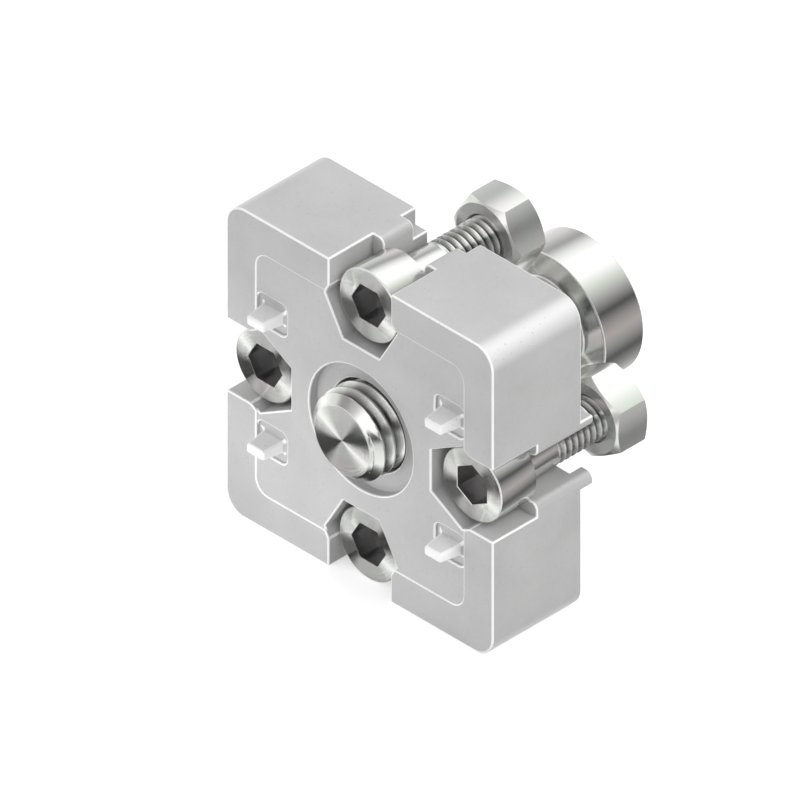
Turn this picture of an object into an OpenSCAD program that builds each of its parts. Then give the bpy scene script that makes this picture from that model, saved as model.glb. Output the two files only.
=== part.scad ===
// Butt connector half for square framing profile, with its centre bolt, four cap screws and four nuts.
// The front face lies at y = 0 and looks towards -y. The profile's end is pushed against it.
// The bolt and the screws run along y, z is up, and the origin is where the bolt's axis meets the front face.

/* [Casting] */
// Width and height of the square casting
body_w = 45; // [43:1:60]
// Thickness of the casting from front to back
body_t = 15; // [14:0.5:20]
// Rounding of the four long edges
edge_r = 3; // [1:0.5:5]
// Width of the raised border round the front face
border_w = 5; // [4:0.25:5.5]
// Height of the border above the panel inside it
border_h = 0.2; // [0.1:0.05:0.6]
// Rounding of the panel's corners
panel_r = 2; // [0.5:0.5:4]

/* [Screw slots] */
// Distance of each screw's axis from the casting's nearest side
screw_inset = 5; // [4.5:0.25:6]
// Depth of the hexagonal pockets in the front face
pocket_t = 7.5; // [6.5:0.5:9]
// Gap between a nut's flats and the sides of a pocket
nut_gap = 0.25; // [0.1:0.05:0.5]
// Distance of a pocket's centre inwards from the screw's axis
pocket_in = 0.4; // [0:0.1:0.8]
// Gap between a screw's shank and the sides of its slot
shank_gap = 0.4; // [0.1:0.1:0.6]
// Rounding of the slots' mouths behind the pockets
lip_r = 1; // [0.4:0.2:1.4]

/* [Index nubs] */
// Width of the nubs beside the left and right slots
nub_w = 1.6; // [1.2:0.1:2]
// Length of the nubs inwards from the casting's side
nub_l = 2; // [1.5:0.1:2.4]
// Height of the nubs above the back face
nub_h = 2; // [1:0.1:3]
// Gap that the notches beside the top and bottom slots leave round another half's nubs
nub_gap = 0.4; // [0.2:0.1:0.6]

/* [Pips] */
// Width of a pip where it leaves the casting
pip_w = 3.6; // [3:0.1:4]
// Height of a pip where it leaves the casting
pip_h = 1.8; // [1.4:0.1:2.4]
// Width of a pip's tip
tip_w = 2.8; // [2:0.1:3]
// Height of a pip's tip
tip_h = 1.3; // [0.8:0.1:1.4]
// How far the pips stand out of the front face
pip_out = 2.8; // [1:0.1:5]
// Distance of the pips' middles from the panel's sides
pip_in = 2.5; // [2.2:0.1:3]
// Distance of the pips' middles above and below the centre
pip_z = 9.35; // [8.6:0.05:10.5]
// Width of the shallow well round each pip
well_w = 5; // [4.4:0.1:5.2]
// Height of the shallow well round each pip
well_h = 4.6; // [3:0.1:5]
// Depth of the well below the panel
well_t = 0.4; // [0.2:0.1:0.8]
// Rounding of the well's corners
well_r = 1; // [0.4:0.1:1.4]

/* [Centre bore] */
// Diameter of the counterbore in the front
counter_d = 17.5; // [14:0.5:19]
// Depth of the counterbore
counter_t = 1.5; // [0.5:0.25:3]
// Gap between the centre bolt's thread and its bore
bolt_gap = 0.25; // [0.1:0.05:0.5]
// Depth of the recess in the back that takes the bolt's head
recess_t = 7.5; // [7:0.25:8.5]
// Gap between the bolt's head and the side of the recess
head_gap = 0.5; // [0.2:0.1:0.7]

/* [Centre bolt] */
// Diameter of the bolt's thread
bolt_d = 12; // [10:1:13]
// Length of the bolt under its head
bolt_l = 35; // [30:1:60]
// How far the bolt's tip stands out of the front face
bolt_out = 3; // [0:0.5:6]
// Diameter of the bolt's head
bolt_head_d = 19; // [17:0.5:19.5]
// Height of the bolt's head
bolt_head_h = 6.8; // [5:0.1:7]
// Width across the flats of the hexagon socket in the bolt's head
bolt_key = 8; // [6:1:10]
// Depth of that socket
bolt_key_t = 3.5; // [2:0.1:3.9]
// Chamfer at the bolt's tip, across the axis
bolt_chamfer = 1.37; // [0.6:0.01:1.4]
// Length of the tip's chamfer along the axis
bolt_lead = 1.1; // [0.6:0.1:2]
// Chamfer on the edge of the bolt's head
bolt_head_chamfer = 0.4; // [0.2:0.1:0.8]
// Distance from one crest of the bolt's thread to the next
bolt_pitch = 1.75; // [1:0.25:2]
// Plain length between the bolt's thread and its head
bolt_plain = 3; // [2:0.5:8]

/* [Cap screws] */
// Diameter of the screws' thread
screw_d = 6; // [5:0.5:6.5]
// Length of the screws under their heads
screw_l = 20; // [19:1:40]
// Diameter of the screws' heads
screw_head_d = 10; // [9:0.25:10.25]
// Height of the screws' heads
screw_head_h = 6; // [4:0.25:6.5]
// Width across the flats of the hexagon sockets
screw_key = 5; // [4:0.5:6]
// Depth of the hexagon sockets
screw_key_t = 3; // [2:0.1:4]
// Chamfer at the screws' tips
screw_chamfer = 0.5; // [0.2:0.1:0.8]
// Chamfer on the front edge of the screws' heads
screw_head_chamfer = 0.25; // [0.1:0.05:0.6]
// Distance from one crest of the screws' thread to the next
screw_pitch = 1; // [0.5:0.25:1.25]
// Plain length between a screw's thread and its head
screw_plain = 5.5; // [2:0.5:8]
// Angle by which the left screw was left turned when it was put in
left_turn = 30; // [0:5:55]

/* [Nuts] */
// Width across the nuts' flats
nut_w = 10; // [9:0.25:10.25]
// Thickness of the nuts
nut_t = 5.2; // [3:0.1:6]
// How far the screws' tips reach past the nuts, as they are drawn out for assembly
nut_tip = 1.2; // [0:0.1:4]
// Gap between a screw's thread and its nut
thread_gap = 0.05; // [0.02:0.01:0.1]

/* [Hidden] */
$fn = 64;
top = 0;
right = 90;
bottom = 180;
left = 270;
// Half the casting's width, and the screw axes' distance from the centre
half = body_w / 2;
screw_r = half - screw_inset;
panel_w = body_w - 2 * border_w;
pip_x = panel_w / 2 - pip_in;
slot_w = screw_d + 2 * shank_gap;
pocket_w = nut_w + 2 * nut_gap;
pocket_r = screw_r - pocket_in;
recess_d = bolt_head_d + 2 * head_gap;
// Depths from the front face
bolt_seat_y = bolt_l - bolt_out;
screw_seat_y = pocket_t;
nut_y = screw_seat_y + screw_l - nut_tip - nut_t;
// Extra length by which every cut runs past the surface that it opens
over = 1;

// Turns a shape drawn for the top slot to the slot at this angle
module around(angle) {
    rotate([0, angle, 0]) children();
}

// Extrudes a front view, drawn with x to the right and y up, from depth y0 back to depth y1
module slab(y0, y1) {
    translate([0, y1, 0]) rotate([90, 0, 0]) linear_extrude(y1 - y0) children();
}

// A round bar along y, whose diameter may change from d0 at depth y0 to d1 at depth y1
module bar(d0, y0, y1, d1) {
    translate([0, y0, 0]) rotate([-90, 0, 0]) cylinder(h = y1 - y0, d1 = d0, d2 = d1);
}

// A hexagonal bar along y of width w across its flats, with flats above and below
module hexagon_bar(w, y0, y1) {
    translate([0, y0, 0]) rotate([-90, 0, 0]) cylinder(h = y1 - y0, d = w / cos(30), $fn = 6);
}

// A solid turned about the y axis from its half outline, whose points are [radius, depth]
module turned(outline) {
    rotate([-90, 0, 0]) rotate_extrude() polygon(outline);
}

// Outline of a thread of diameter d from depth y0 at its tip towards y1: V-shaped rings of the real pitch
// and depth, with crests an eighth of the pitch wide
function thread_outline(d, pitch, y0, y1) =
    let (crest = d / 2, root = d / 2 - 0.6134 * pitch, step = y1 > y0 ? pitch : -pitch)
    [for (i = [0 : floor((y1 - y0) / step) - 1]) each [
        [crest, y0 + (i + 1 / 16) * step], [root, y0 + (i + 1 / 2) * step], [crest, y0 + (i + 15 / 16) * step]]];

module rounded_rectangle(w, h, r) {
    square([w - 2 * r, h], center = true);
    square([w, h - 2 * r], center = true);
    for (x = [-1, 1], y = [-1, 1])
        translate([x * (w / 2 - r), y * (h / 2 - r)]) circle(r);
}

// Front view of the slot behind a pocket: it follows the shank and opens to the side over rounded lips
module slot_outline() {
    translate([0, screw_r]) circle(d = slot_w);
    translate([-slot_w / 2, screw_r]) square([slot_w, screw_inset + over]);
    for (side = [0, 1]) mirror([side, 0])
        translate([slot_w / 2, half - lip_r]) difference() {
            translate([-over, 0]) square([over + lip_r, lip_r + over]);
            translate([lip_r, 0]) circle(lip_r);
        }
}

// The pocket that holds a screw's head in this half, or the nut in the half behind it
module pocket_cut() {
    translate([0, 0, pocket_r]) hexagon_bar(pocket_w, -over, pocket_t);
    slab(-over, pocket_t) translate([-pocket_w / 2, pocket_r]) square([pocket_w, half - pocket_r + over]);
}

module slot_cut() {
    slab(pocket_t - over, body_t + nub_h + over) slot_outline();
}

// The two nubs beside a slot, drawn from the slot's middle so that the slot's cut shapes their inner sides
module nubs() {
    slab(body_t - over, body_t + nub_h)
        translate([-slot_w / 2 - nub_w, half - nub_l]) square([slot_w + 2 * nub_w, nub_l]);
}

// The seats that take the nubs of the half behind, which is turned by a quarter
module notch_cut() {
    slab(body_t - nub_h - nub_gap, body_t + over)
        translate([-slot_w / 2 - nub_w - nub_gap, half - nub_l - nub_gap])
            square([slot_w + 2 * (nub_w + nub_gap), nub_l + nub_gap + over]);
}

// Tapered pip that keys into the profile's slot cavity, rooted below the well's floor
module pip() {
    floor_y = border_h + well_t;
    root_y = floor_y + over;
    intersection() {
        translate([0, 0, -pip_h]) linear_extrude(2 * pip_h)
            polygon([[-pip_w / 2, root_y], [-pip_w / 2, floor_y], [-tip_w / 2, -pip_out],
                [tip_w / 2, -pip_out], [pip_w / 2, floor_y], [pip_w / 2, root_y]]);
        translate([-pip_w, 0, 0]) rotate([90, 0, 90]) linear_extrude(2 * pip_w)
            polygon([[root_y, -pip_h / 2], [floor_y, -pip_h / 2], [-pip_out, -tip_h / 2],
                [-pip_out, tip_h / 2], [floor_y, pip_h / 2], [root_y, pip_h / 2]]);
    }
}

module at_pips() {
    for (x = [-pip_x, pip_x], z = [-pip_z, pip_z])
        translate([x, 0, z]) children();
}

module connector_body() {
    color([0.75, 0.75, 0.75]) {
        difference() {
            union() {
                slab(0, body_t) rounded_rectangle(body_w, body_w, edge_r);
                for (angle = [right, left]) around(angle) nubs();
            }
            slab(-over, border_h) rounded_rectangle(panel_w, panel_w, panel_r);
            at_pips() slab(-over, border_h + well_t) rounded_rectangle(well_w, well_h, well_r);
            bar(counter_d, -over, counter_t, counter_d);
            bar(bolt_d + 2 * bolt_gap, 0, body_t, bolt_d + 2 * bolt_gap);
            bar(recess_d, body_t - recess_t, body_t + over, recess_d);
            for (angle = [top, right, bottom, left]) around(angle) {
                pocket_cut();
                slot_cut();
            }
            for (angle = [top, bottom]) around(angle) notch_cut();
        }
        at_pips() pip();
    }
}

module centre_bolt() {
    r = bolt_d / 2;
    rim_r = bolt_head_d / 2;
    head_y = bolt_seat_y + bolt_head_h;
    thread_y = bolt_lead - bolt_out;
    color([0.82, 0.83, 0.8]) difference() {
        turned(concat(
            [[0, -bolt_out], [r - bolt_chamfer, -bolt_out], [r, thread_y]],
            thread_outline(bolt_d, bolt_pitch, thread_y, bolt_seat_y - bolt_plain),
            [[r, bolt_seat_y], [rim_r, bolt_seat_y], [rim_r, head_y - bolt_head_chamfer],
                [rim_r - bolt_head_chamfer, head_y], [0, head_y]]));
        hexagon_bar(bolt_key, head_y - bolt_key_t, head_y + over);
    }
}

// A cap screw in the top slot, with its socket turned by this angle about its own axis
module cap_screw(turn) {
    r = screw_d / 2;
    rim_r = screw_head_d / 2;
    head_y = screw_seat_y - screw_head_h;
    tip_y = screw_seat_y + screw_l;
    thread_y = tip_y - screw_chamfer;
    color([0.84, 0.84, 0.82]) translate([0, 0, screw_r]) difference() {
        turned(concat(
            [[0, tip_y], [r - screw_chamfer, tip_y], [r, thread_y]],
            thread_outline(screw_d, screw_pitch, thread_y, screw_seat_y + screw_plain),
            [[r, screw_seat_y], [rim_r, screw_seat_y], [rim_r, head_y + screw_head_chamfer],
                [rim_r - screw_head_chamfer, head_y], [0, head_y]]));
        rotate([0, turn, 0]) hexagon_bar(screw_key, head_y - over, head_y + screw_key_t);
    }
}

// A nut on the top screw, with a flat turned outwards, both faces chamfered and its bore countersunk
module hex_nut() {
    corner_d = nut_w / cos(30);
    face_d = 0.95 * nut_w;
    lead = (corner_d - face_d) / 2 * tan(30);
    bore_d = screw_d + 2 * thread_gap;
    sink_d = 1.12 * screw_d;
    sink = (sink_d - bore_d) / 2;
    color([0.8, 0.81, 0.78]) translate([0, nut_y, screw_r]) difference() {
        intersection() {
            hexagon_bar(nut_w, 0, nut_t);
            union() {
                bar(face_d, 0, lead, corner_d);
                bar(corner_d, lead, nut_t - lead, corner_d);
                bar(corner_d, nut_t - lead, nut_t, face_d);
            }
        }
        bar(bore_d, -over, nut_t + over, bore_d);
        bar(sink_d, 0, sink, bore_d);
        bar(bore_d, nut_t - sink, nut_t, sink_d);
    }
}

module cap_screw_top() { around(top) cap_screw(0); }
module cap_screw_right() { around(right) cap_screw(0); }
module cap_screw_bottom() { around(bottom) cap_screw(0); }
module cap_screw_left() { around(left) cap_screw(left_turn); }
module hex_nut_top() { around(top) hex_nut(); }
module hex_nut_right() { around(right) hex_nut(); }
module hex_nut_bottom() { around(bottom) hex_nut(); }
module hex_nut_left() { around(left) hex_nut(); }

connector_body();
centre_bolt();
cap_screw_top();
cap_screw_right();
cap_screw_bottom();
cap_screw_left();
hex_nut_top();
hex_nut_right();
hex_nut_bottom();
hex_nut_left();
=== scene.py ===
import math

import bmesh
import bpy
from mathutils import Matrix, Vector


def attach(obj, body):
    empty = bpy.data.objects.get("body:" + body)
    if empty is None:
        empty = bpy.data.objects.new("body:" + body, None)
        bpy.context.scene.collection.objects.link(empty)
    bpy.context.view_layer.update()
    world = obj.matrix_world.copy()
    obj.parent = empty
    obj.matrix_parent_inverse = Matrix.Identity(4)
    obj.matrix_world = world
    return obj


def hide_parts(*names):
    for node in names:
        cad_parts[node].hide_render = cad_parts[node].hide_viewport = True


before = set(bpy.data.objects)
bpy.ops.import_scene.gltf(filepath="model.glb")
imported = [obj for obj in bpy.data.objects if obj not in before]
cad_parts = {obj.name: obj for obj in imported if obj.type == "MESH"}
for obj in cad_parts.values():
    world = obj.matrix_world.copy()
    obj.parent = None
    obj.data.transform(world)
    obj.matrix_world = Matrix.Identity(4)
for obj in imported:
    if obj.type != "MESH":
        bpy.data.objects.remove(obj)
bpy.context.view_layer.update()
print("frame loaded:", len(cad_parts), "nodes")

mm = 0.001
weld = 0.001 * mm  # points closer than this become one
# corners of every turned piece and thread, a multiple of 24 so that hexagon corners fall on them
around = 96


class Wire:  # a socket on which arithmetic adds Math nodes
    def __init__(self, bench, socket):
        self.bench = bench
        self.socket = socket

    def maths(self, operation, *others):
        inputs = dict(enumerate((self,) + others))
        return self.bench.node("ShaderNodeMath", {"operation": operation}, inputs)

    def output(self, name):  # another output of the node that this wire comes from
        return Wire(self.bench, self.socket.node.outputs[name])

    def __add__(self, other):
        return self.maths("ADD", other)

    def __sub__(self, other):
        return self.maths("SUBTRACT", other)

    def __mul__(self, other):
        return self.maths("MULTIPLY", other)

    def __truediv__(self, other):
        return self.maths("DIVIDE", other)

    def __rsub__(self, other):
        return self.bench.node("ShaderNodeMath", {"operation": "SUBTRACT"}, {0: other, 1: self})

    def __neg__(self):
        return self.maths("MULTIPLY", -1.0)

    __radd__ = __add__
    __rmul__ = __mul__


def opaque(shade):  # a colour from one grey value or from three values
    return shade + (1,) if isinstance(shade, tuple) else (shade, shade, shade, 1)


def setStops(ramp, stops):
    while len(ramp.elements) < len(stops):
        ramp.elements.new(0.5)
    for element, (place, shade) in zip(ramp.elements, stops):
        element.position = place
        element.color = opaque(shade)


class Bench:  # a node tree; node makes any node in it, and the other methods are short names for it
    columns = 12
    step = (220, -260)

    def __init__(self, tree):
        self.tree = tree

    def node(self, kind, settings=None, inputs=None, output=0):
        made = self.tree.nodes.new(kind)
        row, column = divmod(len(self.tree.nodes), self.columns)
        made.location = (self.step[0] * column, self.step[1] * row)
        for name, value in (settings or {}).items():
            if name == "stops":
                setStops(made.color_ramp, value)
            else:
                setattr(made, name, value)
        for name, value in (inputs or {}).items():
            if isinstance(value, Wire):
                self.tree.links.new(value.socket, made.inputs[name])
            else:
                made.inputs[name].default_value = value
        return Wire(self, made.outputs[output]) if len(made.outputs) else made

    def vector(self, operation, *inputs, output=0):
        settings = {"operation": operation}
        return self.node("ShaderNodeVectorMath", settings, dict(enumerate(inputs)), output)

    def scaled(self, vector, scale):
        return self.node("ShaderNodeVectorMath", {"operation": "SCALE"}, {0: vector, "Scale": scale})

    def dot(self, first, second):
        return self.vector("DOT_PRODUCT", first, second, output="Value")

    def parted(self, vector):  # its X; Y and Z are the same node's other outputs
        return self.node("ShaderNodeSeparateXYZ", None, {0: vector})

    def mapped(self, value, low, high, toLow=0.0, toHigh=1.0, style="LINEAR"):
        return self.node("ShaderNodeMapRange", {"interpolation_type": style}, {
            "Value": value, "From Min": low, "From Max": high, "To Min": toLow, "To Max": toHigh})

    def mixed(self, factor, first, second):
        first, second = (c if isinstance(c, Wire) else opaque(c) for c in (first, second))
        inputs = {"Factor": factor, 6: first, 7: second}
        return self.node("ShaderNodeMix", {"data_type": "RGBA"}, inputs, output=2)

    def noise(self, place, scale, detail):
        inputs = {"Vector": place, "Scale": scale, "Detail": detail}
        return self.node("ShaderNodeTexNoise", None, inputs)

    def stripes(self, place, scale, detail, roughness=0.5):  # noise along one measure
        inputs = {"W": place, "Scale": scale, "Detail": detail, "Roughness": roughness}
        return self.node("ShaderNodeTexNoise", {"noise_dimensions": "1D"}, inputs)


def newObject(name, data):
    made = bpy.data.objects.new(name, data)
    bpy.context.scene.collection.objects.link(made)
    return made


def newMesh(name, bm):
    mesh = bpy.data.meshes.new(name)
    bm.to_mesh(mesh)
    bm.free()
    return mesh


def newMaterial(name):
    material = bpy.data.materials.new(name)
    material.use_nodes = True
    material.node_tree.nodes.clear()
    return material, Bench(material.node_tree)


# The groove's place between a crest's middle line, 0, and a root's, 1: where it starts and is full.
grooveSpan = (0.125, 0.9)


def threadTree(name, inside):
    # A strip one pitch wide is wound into a helix whose turns meet edge to edge. Heights past the
    # ends are pressed onto the end planes, where the doubled points merge into plain rings.
    tree = bpy.data.node_groups.new(name, "GeometryNodeTree")
    sizes = {"Crest Radius": 3 * mm, "Depth": 0.6 * mm, "Pitch": mm, "Start": 0.0, "End": 10 * mm,
             "Fade": mm, "End Radius": 2.5 * mm, "Lead": 0.5 * mm}
    counts = {"Turns": 12, "Steps Around": around, "Steps Across": 16}
    for kind, values in (("NodeSocketFloat", sizes), ("NodeSocketInt", counts)):
        for label, value in values.items():
            socket = tree.interface.new_socket(label, in_out="INPUT", socket_type=kind)
            socket.default_value = value
    tree.interface.new_socket("Material", in_out="INPUT", socket_type="NodeSocketMaterial")
    tree.interface.new_socket("Geometry", in_out="OUTPUT", socket_type="NodeSocketGeometry")
    bench = Bench(tree)
    given = bench.node("NodeGroupInput")
    crest, depth, pitch = given.output("Crest Radius"), given.output("Depth"), given.output("Pitch")
    start, end, turns = given.output("Start"), given.output("End"), given.output("Turns")
    lastRadius = given.output("End Radius")
    strip = bench.node("GeometryNodeMeshGrid", None, {
        "Size X": turns, "Vertices X": turns * given.output("Steps Around") + 1,
        "Size Y": 1.0, "Vertices Y": given.output("Steps Across") + 1})
    place = bench.parted(bench.node("GeometryNodeInputPosition"))
    turn = place + turns * 0.5 - 1.0
    across = place.output("Y") + 0.5
    angle = turn * (2 * math.pi)
    height = (start + pitch * (turn + across)).maths("MAXIMUM", start).maths("MINIMUM", end)
    fromCrest = (across - 0.5).maths("ABSOLUTE") * 2.0
    groove = bench.mapped(fromCrest, *grooveSpan)
    fade = ((height - start) / given.output("Fade")).maths("MINIMUM", 1.0)
    slope = (lastRadius - crest) / given.output("Lead")
    endRadius = lastRadius - slope * (end - height)
    if inside:  # a nut's thread opens into a countersink at both ends
        startRadius = lastRadius - slope * (height - start)
        radius = (crest - depth * groove).maths("MAXIMUM", endRadius).maths("MAXIMUM", startRadius)
    else:  # a screw's thread runs out at its start and is chamfered at its tip
        radius = (crest - depth * groove * fade).maths("MINIMUM", endRadius)
    spot = bench.node("ShaderNodeCombineXYZ", None, {
        0: radius * angle.maths("COSINE"), 1: radius * angle.maths("SINE"), 2: height})
    wound = bench.node("GeometryNodeSetPosition", None, {"Geometry": strip, "Position": spot})
    merged = bench.node("GeometryNodeMergeByDistance", None, {"Geometry": wound, "Distance": weld})
    real = bench.node("GeometryNodeRealizeInstances", None, {"Geometry": merged})
    dressed = bench.node("GeometryNodeSetMaterial", None, {
        "Geometry": real, "Material": given.output("Material")})
    bench.node("NodeGroupOutput", None, {"Geometry": dressed})
    return tree


def threadMesh(tree, values):
    holder = newObject("threadHolder", bpy.data.meshes.new("threadHolder"))
    modifier = holder.modifiers.new("thread", "NODES")
    modifier.node_group = tree
    for item in tree.interface.items_tree:
        if item.in_out == "INPUT" and item.name in values:
            modifier[item.identifier] = values[item.name]
    wound = holder.evaluated_get(bpy.context.evaluated_depsgraph_get())
    mesh = bpy.data.meshes.new_from_object(wound)
    holder.modifiers.remove(modifier)
    bpy.data.objects.remove(holder)
    return mesh


def ring(radius, height):
    return lambda angle: (radius, height)


def hexagonRadius(width, angle, turn=0.0):
    offset = (angle - turn + math.pi / 6) % (math.pi / 3) - math.pi / 6
    return width / 2 / math.cos(offset)


def hexagonRing(width, height, turn=0.0):
    return lambda angle: (hexagonRadius(width, angle, turn), height)


def fillet(radius, height, size, first, last, steps=4):
    # rings along a quarter round about (radius, height), from angle first to last in degrees
    rings = []
    for i in range(steps + 1):
        a = math.radians(first + (last - first) * i / steps)
        rings.append(ring(radius + size * math.cos(a), height + size * math.sin(a)))
    return rings


def loft(bm, rings, capStart=False, capEnd=False, finishes=None):
    # Joins rings into a skin. finishes gives a band's material number where it isn't 0, and a cap
    # takes the number of the band beside it.
    rows = []
    finishes = finishes or {}
    for shape in rings:
        row = []
        for i in range(around):
            angle = 2 * math.pi * i / around
            radius, height = shape(angle)
            spot = (radius * math.cos(angle), radius * math.sin(angle), height)
            row.append(bm.verts.new(spot))
        rows.append(row)
    for band, (low, high) in enumerate(zip(rows, rows[1:])):
        for i in range(around):
            j = (i + 1) % around
            face = bm.faces.new((low[i], low[j], high[j], high[i]))
            face.material_index = finishes.get(band, 0)
    for wanted, row, band in ((capStart, rows[0], 0), (capEnd, rows[-1], len(rows) - 2)):
        if wanted is not False:
            middle = bm.verts.new((0, 0, wanted))
            for i in range(around):
                face = bm.faces.new((row[i], row[(i + 1) % around], middle))
                face.material_index = finishes.get(band, 0)


# Turned pieces are drawn along local z with local x up. This lays z along the part's +Y.
toDepth = Matrix(((0, 1, 0, 0), (0, 0, 1, 0), (1, 0, 0, 0), (0, 0, 0, 1)))
placeAngles = {"top": 0, "right": 90, "bottom": 180, "left": 270}
circleRadius = 17.5 * mm  # of the four screws round the bolt
sharpAngle = math.radians(28)


def placeOnCircle(side, front=0.0):
    # the matrix that lays a drawn piece on its screw's axis from depth front on, and the axis's place
    swing = Matrix.Rotation(math.radians(placeAngles[side]), 4, "Y")
    arm = Vector((0, 0, circleRadius))
    return swing @ Matrix.Translation(arm + Vector((0, front, 0))) @ toDepth, swing @ arm


def finishPiece(name, bm, matrix, axis, materials):
    bmesh.ops.remove_doubles(bm, verts=bm.verts, dist=weld)
    bmesh.ops.dissolve_degenerate(bm, dist=weld / 10, edges=bm.edges)
    bmesh.ops.recalc_face_normals(bm, faces=bm.faces)
    bmesh.ops.transform(bm, matrix=matrix, verts=bm.verts)
    mesh = newMesh(name, bm)
    mesh.shade_smooth()
    mesh.set_sharp_from_angle(angle=sharpAngle)
    place = mesh.attributes.new("axisPlace", "FLOAT_VECTOR", "POINT")
    place.data.foreach_set("vector", list(axis) * len(mesh.vertices))
    for material in materials:
        mesh.materials.append(material)
    return newObject(name, mesh)


def castAlloy(name, v):
    material, bench = newMaterial(name)
    spot = bench.node("ShaderNodeTexCoord", output="Object")
    clouds = bench.noise(spot, v["cloudScale"], detail=4.0)
    grain = bench.noise(spot, v["grainScale"], detail=3.0)
    skin = bench.noise(spot, v["skinScale"], detail=2.0)
    pits = bench.node("ShaderNodeTexVoronoi", None, {"Vector": spot, "Scale": v["pitScale"]})
    pitMask = bench.mapped(pits, *v["pitRange"], 1.0, 0.0)
    tone = clouds * (1 - v["grainTone"]) + grain * v["grainTone"]
    colour = bench.mixed(bench.mapped(tone, *v["toneRange"]), v["dark"], v["light"])
    # a painted highlight lightens the block's four long rounded corners, most where a normal leans
    # halfway between a side and the top or bottom
    outward = bench.parted(bench.node("ShaderNodeNewGeometry", output="Normal"))
    away = bench.parted(spot)
    nearer = away.maths("ABSOLUTE").maths("MINIMUM", away.output("Z").maths("ABSOLUTE"))
    corner = bench.mapped(nearer, *v["highlightCornerRange"])
    diagonal = (outward * outward.output("Z")).maths("ABSOLUTE") * 2.0
    cornerHighlight = (corner * diagonal).maths("POWER", v["highlightPower"]) * v["cornerHighlight"]
    colour = bench.mixed(cornerHighlight, colour, v["highlighted"])
    colour = bench.mixed(pitMask * v["pitShade"], colour, v["pit"])
    height = skin * (1 - v["grainBump"]) + grain * v["grainBump"] - pitMask * v["pitBump"]
    bump = bench.node("ShaderNodeBump", None, {
        "Strength": v["bump"], "Distance": v["bumpDistance"], "Height": height})
    uneven = (clouds - 0.5) * v["cloudRoughness"] + (grain - 0.5) * v["grainRoughness"]
    surface = bench.node("ShaderNodeBsdfPrincipled", None, {
        "Base Color": colour, "Metallic": v["metallic"],
        "Roughness": v["roughness"] + uneven, "Normal": bump})
    bench.node("ShaderNodeOutputMaterial", None, {"Surface": surface})
    return material


def inWorld(bench, vector):
    settings = {"vector_type": "VECTOR", "convert_from": "OBJECT", "convert_to": "WORLD"}
    return bench.node("ShaderNodeVectorTransform", settings, {0: vector})


def turnedSteel(name, v):
    # Fine grooves run round each turned piece's axis, so every normal leans across them by a small
    # random angle.
    material, bench = newMaterial(name)
    spot = bench.node("ShaderNodeTexCoord", output="Object")
    axis = bench.node("ShaderNodeAttribute", {"attribute_name": "axisPlace"}, output="Vector")
    arm = bench.vector("MULTIPLY", bench.vector("SUBTRACT", spot, axis), (1, 0, 1))
    distance = bench.vector("LENGTH", arm, output="Value")
    depth = bench.parted(spot).output("Y")
    along = distance + depth
    worldArm = inWorld(bench, arm)
    worldAxis = inWorld(bench, (0, 1, 0))
    tangent = bench.vector("NORMALIZE", bench.vector("CROSS_PRODUCT", worldAxis, worldArm))
    normal = bench.node("ShaderNodeNewGeometry", output="Normal")
    across = bench.vector("CROSS_PRODUCT", tangent, normal)
    # faced is 1 on faces square to the axis, whose grooves are coarser marks
    faced = bench.dot(normal, worldAxis).maths("ABSOLUTE").maths("POWER", v["facedPower"])
    unfaced = 1 - faced
    grooves = bench.stripes(along, v["grooveScale"], detail=3.0, roughness=0.7)
    marks = bench.mapped(grooves, *v["markRange"], -v["facedGroove"], v["facedGroove"])
    lean = (grooves - 0.5) * v["groove"] * unfaced + marks * faced
    # a crown lets flats bulge a little, so that their shade changes from corner to corner
    bulge = bench.scaled(bench.vector("NORMALIZE", worldArm), unfaced * v["crown"])
    crowned = bench.vector("ADD", normal, bulge)
    tilted = bench.vector("NORMALIZE", bench.vector("ADD", crowned, bench.scaled(across, lean)))
    clouds = bench.noise(spot, v["cloudScale"], detail=3.0)
    rings = bench.stripes(along, v["ringScale"], detail=2.0)
    colour = bench.mixed(bench.mapped(clouds, *v["cloudRange"]), v["warm"], v["cool"])
    if "root" in v:  # painted shade darkens a thread's roots, but not the chamfer at its tip
        deep = bench.mapped(distance, v["root"], v["crest"], 1.0, 0.0)
        begun = bench.mapped(depth, v["begins"], v["begins"] + v["beginsOver"])
        colour = bench.mixed(deep * begun * v["oil"], colour, v["oiled"])
    height = rings * v["ringBump"] + clouds * (1 - v["ringBump"])
    bump = bench.node("ShaderNodeBump", None, {
        "Strength": v["bump"], "Distance": v["bumpDistance"], "Height": height, "Normal": tilted})
    uneven = (clouds - 0.5) * v["cloudRoughness"] + (rings - 0.5) * v["ringRoughness"]
    surface = bench.node("ShaderNodeBsdfPrincipled", None, {
        "Base Color": colour, "Metallic": v["metallic"],
        "Roughness": v["roughness"] + uneven, "Normal": bump})
    bench.node("ShaderNodeOutputMaterial", None, {"Surface": surface})
    return material


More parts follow.
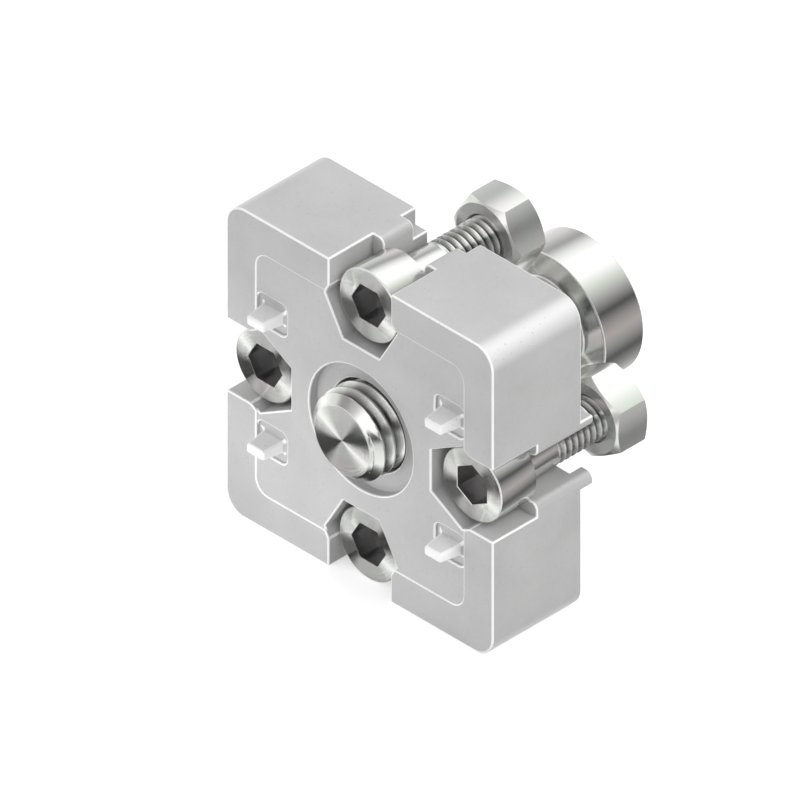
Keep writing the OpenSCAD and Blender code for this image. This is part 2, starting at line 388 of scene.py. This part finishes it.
castingFinish = {
    "dark": 0.54, "light": 0.62, "toneRange": (0.3, 0.7), "grainTone": 0.3,
    "cloudScale": 120.0, "grainScale": 2600.0, "skinScale": 700.0, "pitScale": 900.0,
    "pit": 0.36, "pitRange": (0.04, 0.16), "pitShade": 0.35, "pitBump": 0.8,
    "metallic": 0.35, "roughness": 0.5, "cloudRoughness": 0.16, "grainRoughness": 0.1,
    "bump": 0.5, "bumpDistance": 0.02 * mm, "grainBump": 0.4,
    # the corner keys set the painted highlight on the long rounded corners
    "highlightCornerRange": (17 * mm, 19 * mm), "highlightPower": 1.5, "cornerHighlight": 0.75, "highlighted": 0.95,
}
# a near-white copy of the alloy, painted highlight on the rounded edges and on the pips' front and
# side faces
highlightFinish = dict(castingFinish, dark=0.92, light=0.97, metallic=0.1, roughness=0.4)
# a lighter copy of the alloy, painted highlight on the pips' other faces
pipHighlightFinish = dict(castingFinish, dark=0.74, light=0.82, metallic=0.15)
steelFinish = {
    "warm": (0.78, 0.76, 0.75), "cool": (0.76, 0.78, 0.75), "cloudScale": 260.0,
    "cloudRange": (0.35, 0.65), "metallic": 1.0, "roughness": 0.13, "cloudRoughness": 0.12,
    "ringScale": 5200.0, "ringRoughness": 0.08, "ringBump": 0.7, "bump": 0.25,
    "bumpDistance": 0.01 * mm, "grooveScale": 60000.0, "groove": 0.5, "facedGroove": 0.34,
    "facedPower": 4.0, "markRange": (0.49, 0.51), "crown": 0.0,
}
nutFinish = dict(
    steelFinish, warm=(0.83, 0.81, 0.8), cool=(0.8, 0.83, 0.79), roughness=0.2, metallic=0.88,
    crown=0.6)
# painted shade lies between the radii crest and root, from depth begins on
threadFinish = dict(
    steelFinish, root=2.45 * mm, crest=2.95 * mm, begins=-1.0, beginsOver=0.3 * mm, oil=0.85,
    oiled=0.05)
boltThreadFinish = dict(threadFinish, root=5.05 * mm, crest=5.9 * mm, begins=-1.9 * mm)
# darker copies of the steel paint shade inside the hex sockets: on their walls, and darker still on
# their floors
socketWallShadeFinish = dict(
    steelFinish, warm=(0.5, 0.49, 0.49), cool=(0.47, 0.47, 0.47), roughness=0.14, groove=0.2,
    facedGroove=0.1)
socketShadeFinish = dict(
    steelFinish, warm=(0.3, 0.29, 0.29), cool=(0.27, 0.27, 0.27), roughness=0.24, groove=0.4,
    facedGroove=0.1)
# a near-white copy of the steel, a painted highlight on the bolt's tip edge, its head's edges and the
# screw heads' front edges
lipHighlightFinish = dict(
    steelFinish, warm=(0.96, 0.95, 0.94), cool=(0.94, 0.96, 0.94), roughness=0.5, groove=0.3,
    facedGroove=0.1)

castMaterial = castAlloy("castAlloy", castingFinish)
castHighlightMaterial = castAlloy("castAlloyHighlight", highlightFinish)
castPipHighlightMaterial = castAlloy("castAlloyPipHighlight", pipHighlightFinish)
threadMaterial = turnedSteel("threadSteel", threadFinish)
boltThreadMaterial = turnedSteel("boltThreadSteel", boltThreadFinish)
steelMaterial = turnedSteel("turnedSteel", steelFinish)
nutMaterial = turnedSteel("nutSteel", nutFinish)
socketShadeMaterial = turnedSteel("socketSteelShade", socketShadeFinish)
socketWallShadeMaterial = turnedSteel("socketWallSteelShade", socketWallShadeFinish)
steelHighlightMaterial = turnedSteel("steelHighlight", lipHighlightFinish)
print("materials made")


# Angles are in degrees. pipReach is half a pip's size with some room, and a pip stands on ground
# as deep as rootDepth. The facings are the least part of a normal that points a face that way.
casting = {
    "flat": 0.6, "corner": 24, "near": 0.01 * mm,
    "edge": 0.2 * mm, "pipEdge": 0.36 * mm, "segments": 3, "root": 0.26 * mm, "rootSegments": 3,
    "pipReach": (2.3 * mm, 1.6 * mm), "rootDepth": 0.6 * mm, "wallShare": 0.85,
    "tipFacing": 0.7, "sideFacing": 0.5,
}
pipPlaces = [(x * mm, z * mm) for x in (-15, 15) for z in (-9.35, 9.35)]
# the order of the casting's materials
castBand, castHighlightBand, castPipHighlightBand = range(3)


def onPip(spot, v):
    reachX, reachZ = v["pipReach"]
    return spot.y < v["rootDepth"] + v["near"] and any(
        abs(spot.x - x) < reachX and abs(spot.z - z) < reachZ for x, z in pipPlaces)


def atPipRoot(spot, v):
    return onPip(spot, v) and abs(spot.y - v["rootDepth"]) < v["near"]


def isTurned(edge, v):
    return len(edge.link_faces) == 2 and edge.calc_face_angle() > math.radians(v["corner"])


def wallDepth(face, v):  # how far a wall of the casting reaches from front to back
    depths = [vert.co.y for vert in face.verts]
    return max(depths) - min(depths) if abs(face.normal.y) < v["sideFacing"] else math.inf


def castingBand(face, v):
    standing = min(vert.co.y for vert in face.verts) < 0
    if not (standing and all(onPip(vert.co, v) for vert in face.verts)):
        return castBand
    # a pip's front face and its left and right faces take the near-white copy and its others the
    # lighter one: painted highlight, lit and shaded copies of the alloy
    highlighted = face.normal.y < -v["tipFacing"] or abs(face.normal.x) > v["sideFacing"]
    return castHighlightBand if highlighted else castPipHighlightBand


def roundingWidth(edge, v):
    width = v["pipEdge"] if all(onPip(vert.co, v) for vert in edge.verts) else v["edge"]
    # a low wall, such as the border's, keeps a part of its height
    return min([width] + [v["wallShare"] * wallDepth(face, v) for face in edge.link_faces])


def makeCasting(v):
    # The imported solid's flat faces are joined again, each pip's root gets a fillet, and every outer
    # edge is rounded.
    bm = bmesh.new()
    bm.from_mesh(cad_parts["connector_body"].data)
    bmesh.ops.remove_doubles(bm, verts=bm.verts, dist=weld)
    flat = math.radians(v["flat"])
    bmesh.ops.dissolve_limit(bm, angle_limit=flat, verts=bm.verts, edges=bm.edges)
    roots = [edge for edge in bm.edges if isTurned(edge, v) and not edge.is_convex
             and all(atPipRoot(vert.co, v) for vert in edge.verts)]
    bmesh.ops.bevel(bm, geom=roots, offset=v["root"], segments=v["rootSegments"], profile=0.5,
                    affect="EDGES")
    for face in bm.faces:
        face.material_index = castingBand(face, v)
    weight = bm.edges.layers.float.new("bevel_weight_edge")
    for edge in bm.edges:
        turned = isTurned(edge, v)
        edge.smooth = edge.is_convex or not turned
        if turned and edge.is_convex:
            edge[weight] = roundingWidth(edge, v) / v["pipEdge"]
    mesh = newMesh("casting", bm)
    for material in (castMaterial, castHighlightMaterial, castPipHighlightMaterial):
        mesh.materials.append(material)
    piece = newObject("casting", mesh)
    rounding = piece.modifiers.new("edges", "BEVEL")
    rounding.limit_method = "WEIGHT"
    rounding.width = v["pipEdge"]
    rounding.segments = v["segments"]
    rounding.use_clamp_overlap = False
    # the rounding's faces take the near-white copy, a painted highlight along every rounded edge
    rounding.material = castHighlightBand
    level = piece.modifiers.new("level", "WEIGHTED_NORMAL")  # keeps flat faces' shading flat
    level.keep_sharp = True
    print("pip root edges rounded:", len(roots))
    return piece


castingPiece = makeCasting(casting)
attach(castingPiece, "body")
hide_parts("connector_body")
print("casting:", len(castingPiece.data.polygons), "faces before its edges are rounded")


screwThread = threadTree("screwThread", inside=False)
nutThread = threadTree("nutThread", inside=True)
# the order of the bolt's and the screws' materials, after the plain steel
socketShadeBand, lipHighlightBand, threadBand, socketWallShadeBand = range(1, 5)


def addThread(bm, tree, shape, start, end, flip=False, turn=0.0, finish=0):
    # Winds a thread from height start to height end. With flip its chamfered end is at start.
    span = end - start
    turns = math.ceil(span / shape["Pitch"]) + 2
    values = dict(shape, **{"Start": 0.0, "End": span, "Turns": turns, "Steps Around": around})
    mesh = threadMesh(tree, values)
    if flip:  # half a turn about local x keeps the thread right-handed
        mesh.transform(Matrix.Translation((0, 0, end)) @ Matrix.Rotation(math.pi, 4, "X"))
    else:
        mesh.transform(Matrix.Translation((0, 0, start)) @ Matrix.Rotation(turn, 4, "Z"))
    mesh.polygons.foreach_set("material_index", [finish] * len(mesh.polygons))
    bm.from_mesh(mesh)
    bpy.data.meshes.remove(mesh)


# fade is in pitches. tipBreak says at which shares of the tip's edge its slope changes.
centreBolt = {
    "tip": -3.0 * mm, "tipRadius": 4.63 * mm, "tipEdge": 0.1 * mm, "tipBreak": (0.2, 0.25),
    "radius": 6.0 * mm, "pitch": 1.75 * mm, "threadDepth": 1.0 * mm, "threadEnd": 28.5 * mm,
    "lead": 1.1 * mm, "fade": 2.5, "stepsAcross": 32, "neck": 0.25 * mm, "seat": 32.0 * mm,
    "headRadius": 9.5 * mm, "headHeight": 6.8 * mm, "headEdge": 0.4 * mm,
    "key": 8.0 * mm, "keyDepth": 3.5 * mm, "keyLead": 0.2 * mm, "keyMiddle": 0.25,
}


def makeCentreBolt(v):
    bm = bmesh.new()
    radius, tip, tipRadius, lip = v["radius"], v["tip"], v["tipRadius"], v["tipEdge"]
    seat, neck, rim, edge, key = v["seat"], v["neck"], v["headRadius"], v["headEdge"], v["key"]
    back = seat + v["headHeight"]
    keyFloor = back - v["keyDepth"]
    slope = (radius - tipRadius) / v["lead"]
    thread = tip + lip
    shape = {"Crest Radius": radius, "Depth": v["threadDepth"], "Pitch": v["pitch"],
             "Fade": v["fade"] * v["pitch"], "End Radius": tipRadius + slope * lip,
             "Lead": v["lead"] - lip, "Steps Across": v["stepsAcross"]}
    addThread(bm, screwThread, shape, thread, v["threadEnd"], flip=True, finish=threadBand)
    outward, upward = v["tipBreak"]
    # the tip's rounded edge takes the painted highlight
    tipRings = [ring(tipRadius + slope * lip, thread),
                ring(tipRadius + slope * lip * outward, tip + lip * upward),
                ring(tipRadius - lip, tip)]
    loft(bm, tipRings, capEnd=tip, finishes={0: lipHighlightBand})
    rings = [ring(radius, v["threadEnd"]), ring(radius, seat - neck)]
    rings += fillet(radius + neck, seat - neck, neck, 180, 90)
    under = len(rings)
    rings += fillet(rim - edge / 2, seat + edge / 2, edge / 2, -90, 0)
    side = len(rings) - 1
    rings += [ring(rim, back - edge), ring(rim - edge, back)]
    rings += [hexagonRing(key + v["keyLead"], back), hexagonRing(key, back - v["keyLead"] / 2)]
    wall = len(rings) - 1
    rings += [hexagonRing(key, keyFloor), ring(key * v["keyMiddle"], keyFloor)]
    # the head's edges take the painted highlight, and the socket's walls and floor painted shade
    finishes = {band: lipHighlightBand for band in range(under, side)}
    finishes.update({side + 1: lipHighlightBand, wall: socketWallShadeBand, wall + 1: socketShadeBand})
    loft(bm, rings, capEnd=keyFloor, finishes=finishes)
    materials = (steelMaterial, socketShadeMaterial, steelHighlightMaterial, boltThreadMaterial,
                 socketWallShadeMaterial)
    return finishPiece("centreBolt", bm, toDepth, (0, 0, 0), materials)


boltPiece = makeCentreBolt(centreBolt)
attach(boltPiece, "bolt")
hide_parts("centre_bolt")
print("centre bolt:", len(boltPiece.data.polygons), "faces")


# A tip wider than the thread's root would double its end face. keyTurn is in degrees.
capScrew = {
    "head": 1.5 * mm, "headRadius": 5.0 * mm, "headEdge": 0.25 * mm, "headSteps": 5,
    "seat": 7.5 * mm, "seatEdge": 0.15 * mm, "seatSteps": 2, "neck": 0.3 * mm,
    "radius": 3.0 * mm, "pitch": 1.0 * mm, "threadDepth": 0.58 * mm, "threadStart": 13.0 * mm,
    "fade": 1.2, "stepsAcross": 16, "tip": 27.5 * mm, "tipRadius": 2.4 * mm, "lead": 0.6 * mm,
    "key": 5.0 * mm, "keyDepth": 3.0 * mm, "keyLead": 0.12 * mm, "keyMiddle": 0.25,
    "keyTurn": {"left": 30},
}


def makeCapScrew(side, v):
    bm = bmesh.new()
    turn = math.radians(v["keyTurn"].get(side, 0))
    front, seat, neck, key = v["head"], v["seat"], v["neck"], v["key"]
    edge, seatEdge = v["headEdge"], v["seatEdge"]
    keyFloor = front + v["keyDepth"]
    rings = [ring(key * v["keyMiddle"], keyFloor), hexagonRing(key, keyFloor, turn),
             hexagonRing(key, front + v["keyLead"] / 2, turn),
             hexagonRing(key + v["keyLead"], front, turn)]
    rim = len(rings)
    rings += fillet(v["headRadius"] - edge, front + edge, edge, -90, 0, v["headSteps"])
    rimEnd = len(rings) - 2
    rings += fillet(v["headRadius"] - seatEdge, seat - seatEdge, seatEdge, 0, 90, v["seatSteps"])
    rings += fillet(v["radius"] + neck, seat + neck, neck, 270, 180)
    rings += [ring(v["radius"], v["threadStart"])]
    # part of the head's front edge takes the painted highlight, and the socket's walls and floor
    # painted shade
    finishes = {band: lipHighlightBand for band in range(rim + 1, rimEnd)}
    finishes.update({0: socketShadeBand, 1: socketWallShadeBand})
    loft(bm, rings, capStart=keyFloor, finishes=finishes)
    shape = {"Crest Radius": v["radius"], "Depth": v["threadDepth"], "Pitch": v["pitch"],
             "Fade": v["fade"] * v["pitch"], "End Radius": v["tipRadius"], "Lead": v["lead"],
             "Steps Across": v["stepsAcross"]}
    addThread(bm, screwThread, shape, v["threadStart"], v["tip"], finish=threadBand)
    loft(bm, [ring(v["tipRadius"], v["tip"])], capEnd=v["tip"])
    matrix, axis = placeOnCircle(side)
    materials = (steelMaterial, socketShadeMaterial, steelHighlightMaterial, threadMaterial,
                 socketWallShadeMaterial)
    return finishPiece("capScrew_" + side, bm, matrix, axis, materials)


for side in placeAngles:
    screwPiece = makeCapScrew(side, capScrew)
    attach(screwPiece, "screw_" + side)
    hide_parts("cap_screw_" + side)
print("cap screws:", len(screwPiece.data.polygons), "faces each")


hexNut = {
    "front": 21.1 * mm, "thick": 5.2 * mm, "width": 10.0 * mm, "faceRadius": 4.75 * mm,
    "chamfer": math.radians(30), "radius": 3.05 * mm, "threadDepth": 0.5 * mm, "pitch": 1.0 * mm,
    "stepsAcross": 16, "sinkRadius": 3.3 * mm, "sink": 0.75 * mm,
}


def chamferRing(v, fromFront):
    # where the conical chamfer meets the flats
    def shape(angle):
        radius = hexagonRadius(v["width"], angle)
        drop = (radius - v["faceRadius"]) * math.tan(v["chamfer"])
        return radius, (drop if fromFront else v["thick"] - drop)
    return shape


def makeNut(side, v):
    bm = bmesh.new()
    thick, sink, face = v["thick"], v["sinkRadius"], v["faceRadius"]
    loft(bm, [ring(sink, 0), ring(face, 0), chamferRing(v, True), chamferRing(v, False),
              ring(face, thick), ring(sink, thick)])
    shape = {"Crest Radius": v["radius"], "Depth": v["threadDepth"], "Pitch": v["pitch"],
             "Fade": v["pitch"], "End Radius": sink, "Lead": v["sink"],
             "Steps Across": v["stepsAcross"]}
    # turns by which the screw's thread is ahead here, to the nearest corner
    ahead = round((v["front"] - capScrew["threadStart"]) / v["pitch"] * around) / around
    addThread(bm, nutThread, shape, 0, thick, turn=ahead * 2 * math.pi)
    matrix, axis = placeOnCircle(side, v["front"])
    return finishPiece("hexNut_" + side, bm, matrix, axis, (nutMaterial,))


for side in placeAngles:
    nutPiece = makeNut(side, hexNut)
    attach(nutPiece, "nut_" + side)
    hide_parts("hex_nut_" + side)
print("nuts:", len(nutPiece.data.polygons), "faces each")


stage = {
    "floorSize": 3.0, "floorHeight": -22.5 * mm, "floorGlow": 0.4, "floorColour": 0.85,
    "background": 1.0, "gain": 1.4, "fill": 0.74, "frontFill": 0.4, "frontFillPower": 2.0,
    # between these two Y values of a direction the back bands take over from the front bands
    "facing": (-0.05, 0.25),
    # brightness round the bolt's direction, as metal sees it: degrees from overhead, to the right
    "backBands": [
        (-180, 0.3), (-115, 0.72), (-75, 0.55), (-51, 0.3), (-32, 0.75), (-13, 1.0), (15, 0.95),
        (38, (0.55, 0.59, 0.54)), (56, 0.3), (73, 0.06), (90, 0.25), (107, (0.38, 0.35, 0.34)),
        (126, 0.24), (145, 0.08), (180, 0.3)],
    # brightness round the front faces' mirror direction, the same on opposite sides
    "frontBands": [
        (0, 0.46), (12, 0.66), (20, 0.4), (27, 0.01), (40, 0.05), (54, 0.01), (62, 0.3), (74, 1.0),
        (98, 0.95), (122, (0.62, 0.66, 0.6)), (150, 0.7), (166, 0.5), (180, 0.46)],
    # two directions square to that mirror direction
    "frontUp": (0, -1, 1), "frontRight": (1, -0.5, -0.5),
    # soft cards: direction, degrees where one starts and is full, brightness
    "cards": [
        ((0.27, -0.92, 0.27), 34, 20, 1.0), ((0.44, -0.69, -0.58), 26, 12, 0.6),
        ((-0.15, -0.1, -1.0), 36, 16, 0.03), ((-0.58, -0.69, 0.44), 24, 12, 0.25),
        ((0.48, -0.87, -0.08), 17, 8, 0.04)],
}


def seenByMirrors(bench):  # 1 for rays that metal or clear surfaces send out, and 1 for the camera's
    path = bench.node("ShaderNodeLightPath", output="Is Glossy Ray")
    mirrors = path.maths("MAXIMUM", path.output("Is Transmission Ray"))
    return mirrors, path.output("Is Camera Ray")


def makeFloor(v):
    bm = bmesh.new()
    bmesh.ops.create_grid(bm, x_segments=1, y_segments=1, size=v["floorSize"] / 2)
    bmesh.ops.translate(bm, verts=bm.verts, vec=(0, 0, v["floorHeight"]))
    floor = newObject("floor", newMesh("floor", bm))
    material, bench = newMaterial("paleFloor")
    mirrors, camera = seenByMirrors(bench)
    paint = bench.node("ShaderNodeBsdfDiffuse", None, {"Color": opaque(v["floorColour"])})
    glow = bench.node("ShaderNodeEmission", None, {
        "Strength": camera.maths("MAXIMUM", mirrors) * v["floorGlow"]})
    both = bench.node("ShaderNodeAddShader", None, {0: paint, 1: glow})
    bench.node("ShaderNodeOutputMaterial", None, {"Surface": both})
    floor.data.materials.append(material)
    floor.visible_glossy = False  # metal sees the studio's bands there


def makeWorld(v):
    world = bpy.data.worlds.new("studio")
    world.use_nodes = True
    world.node_tree.nodes.clear()
    bpy.context.scene.world = world
    bench = Bench(world.node_tree)
    mirrors, camera = seenByMirrors(bench)
    toward = bench.node("ShaderNodeTexCoord", output="Generated")
    parts = bench.parted(toward)
    overhead = parts.maths("ARCTAN2", parts.output("Z")) / (2 * math.pi) + 0.5
    backStops = [(degrees / 360 + 0.5, shade) for degrees, shade in v["backBands"]]
    behind = bench.node("ShaderNodeValToRGB", {"stops": backStops}, {"Fac": overhead})
    up = bench.dot(toward, Vector(v["frontUp"]).normalized())
    right = bench.dot(toward, Vector(v["frontRight"]).normalized())
    turn = (right.maths("ARCTAN2", up) / math.pi + 1).maths("FRACT")
    frontStops = [(degrees / 180, shade) for degrees, shade in v["frontBands"]]
    before = bench.node("ShaderNodeValToRGB", {"stops": frontStops}, {"Fac": turn})
    seen = bench.mixed(bench.mapped(parts.output("Y"), *v["facing"]), before, behind)
    for direction, start, full, shade in v["cards"]:
        near = bench.dot(toward, Vector(direction).normalized())
        limits = [math.cos(math.radians(degrees)) for degrees in (start, full)]
        seen = bench.mixed(bench.mapped(near, *limits, style="SMOOTHSTEP"), seen, shade)
    ahead = (-parts.output("Y")).maths("MAXIMUM", 0.0).maths("POWER", v["frontFillPower"])
    fill = ahead * v["frontFill"] + v["fill"]
    strength = camera * v["background"] + mirrors * v["gain"] + (1 - camera - mirrors) * fill
    light = bench.node("ShaderNodeBackground", None, {
        "Color": bench.mixed(mirrors, 1.0, seen), "Strength": strength})
    bench.node("ShaderNodeOutputWorld", None, {"Surface": light})


def makeLamp(name, place, target, size, power):
    lamp = bpy.data.lights.new(name, "AREA")
    lamp.shape = "DISK"
    lamp.size = size
    lamp.energy = power
    holder = newObject(name, lamp)
    holder.location = place
    aim = Vector(target) - Vector(place)
    holder.rotation_euler = aim.to_track_quat("-Z", "Y").to_euler()
    holder.visible_glossy = False
    holder.visible_camera = False


makeFloor(stage)
makeWorld(stage)
makeLamp("frontLamp", place=(-0.014, -0.034, -0.013), target=(-0.012, 0, -0.014), size=0.014,
         power=0.005)
makeLamp("edgeLamp", place=(0.36, 0.12, 0.38), target=(0, 0.01, 0), size=0.2, power=1.2)
print("stage set")


# an isometric view; its angles are in degrees
photoView = {
    "azimuth": 45, "elevation": 35.2644, "target": (3.415 * mm, 3.415 * mm, 4.465 * mm),
    "width": 95.63 * mm, "distance": 0.6, "clip": (0.01, 20),
}


def makeCamera(v):
    camera = bpy.data.cameras.new("camera")
    camera.type = "ORTHO"
    camera.ortho_scale = v["width"]
    camera.clip_start, camera.clip_end = v["clip"]
    holder = newObject("camera", camera)
    azimuth, elevation = math.radians(v["azimuth"]), math.radians(v["elevation"])
    level = math.cos(elevation)
    back = Vector((level * math.sin(azimuth), -level * math.cos(azimuth), math.sin(elevation)))
    holder.location = Vector(v["target"]) + back * v["distance"]
    holder.rotation_euler = (-back).to_track_quat("-Z", "Y").to_euler()
    bpy.context.scene.camera = holder


makeCamera(photoView)
bpy.context.scene.view_settings.view_transform = "Standard"
bpy.context.view_layer.update()
